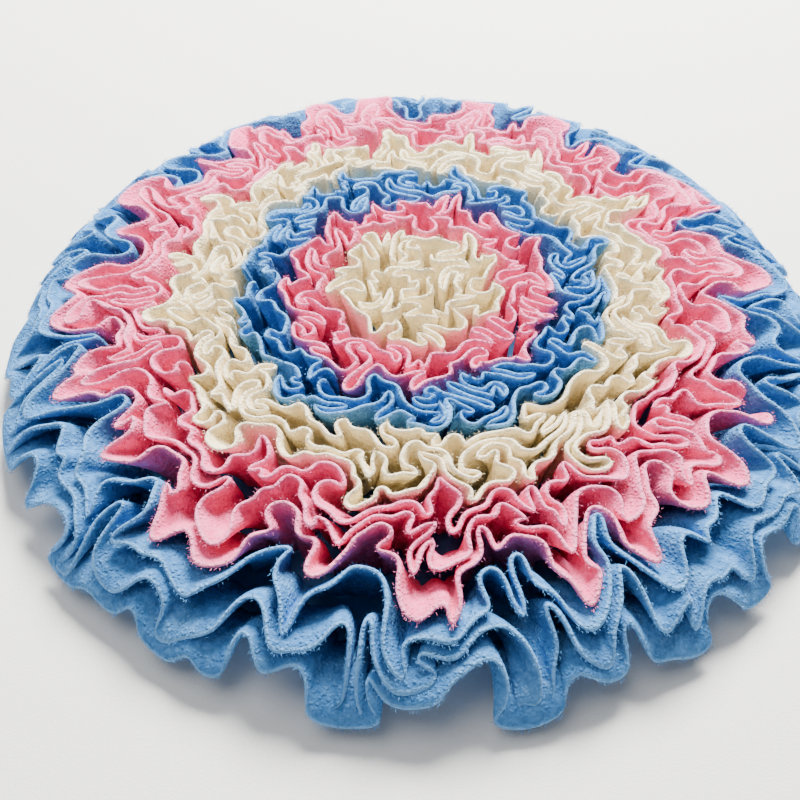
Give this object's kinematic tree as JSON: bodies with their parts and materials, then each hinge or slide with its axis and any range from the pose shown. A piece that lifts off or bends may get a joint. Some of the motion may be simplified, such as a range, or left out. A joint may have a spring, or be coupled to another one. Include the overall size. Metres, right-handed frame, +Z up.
{
  "type": "snuffle mat",
  "caption": "Round snuffle mat of ruffled fleece: gathered strips sewn in rings on a flat base, in cream, pink and blue bands, for hiding dry food in the folds.",
  "frame": {"origin": "centre of the base cloth's underside, on the surface the mat lies on", "axes": "+Z up out of the ruffles, away from the surface; the mat is round, and -Y is the side nearest the viewer"},
  "size_m": [0.4857, 0.4876, 0.0535],
  "materials": {
    "cream_fleece": "matte napped fleece",
    "pink_fleece": "matte napped fleece",
    "blue_fleece": "matte napped fleece",
    "base_cloth": "matte woven cloth"
  },
  "bodies": {
    "root": {"base": "base_cloth", "core_1": "cream_fleece", "core_2": "cream_fleece", "core_3": "cream_fleece", "pinkin_1": "pink_fleece", "pinkin_2": "pink_fleece", "bluein_1": "blue_fleece", "bluein_2": "blue_fleece", "cream_1": "cream_fleece", "cream_2": "cream_fleece", "cream_3": "cream_fleece", "pink_1": "pink_fleece", "pink_2": "pink_fleece", "pink_3": "pink_fleece", "blue_1": "blue_fleece", "blue_2": "blue_fleece", "blue_3": "blue_fleece"}
  },
  "joints": []
}
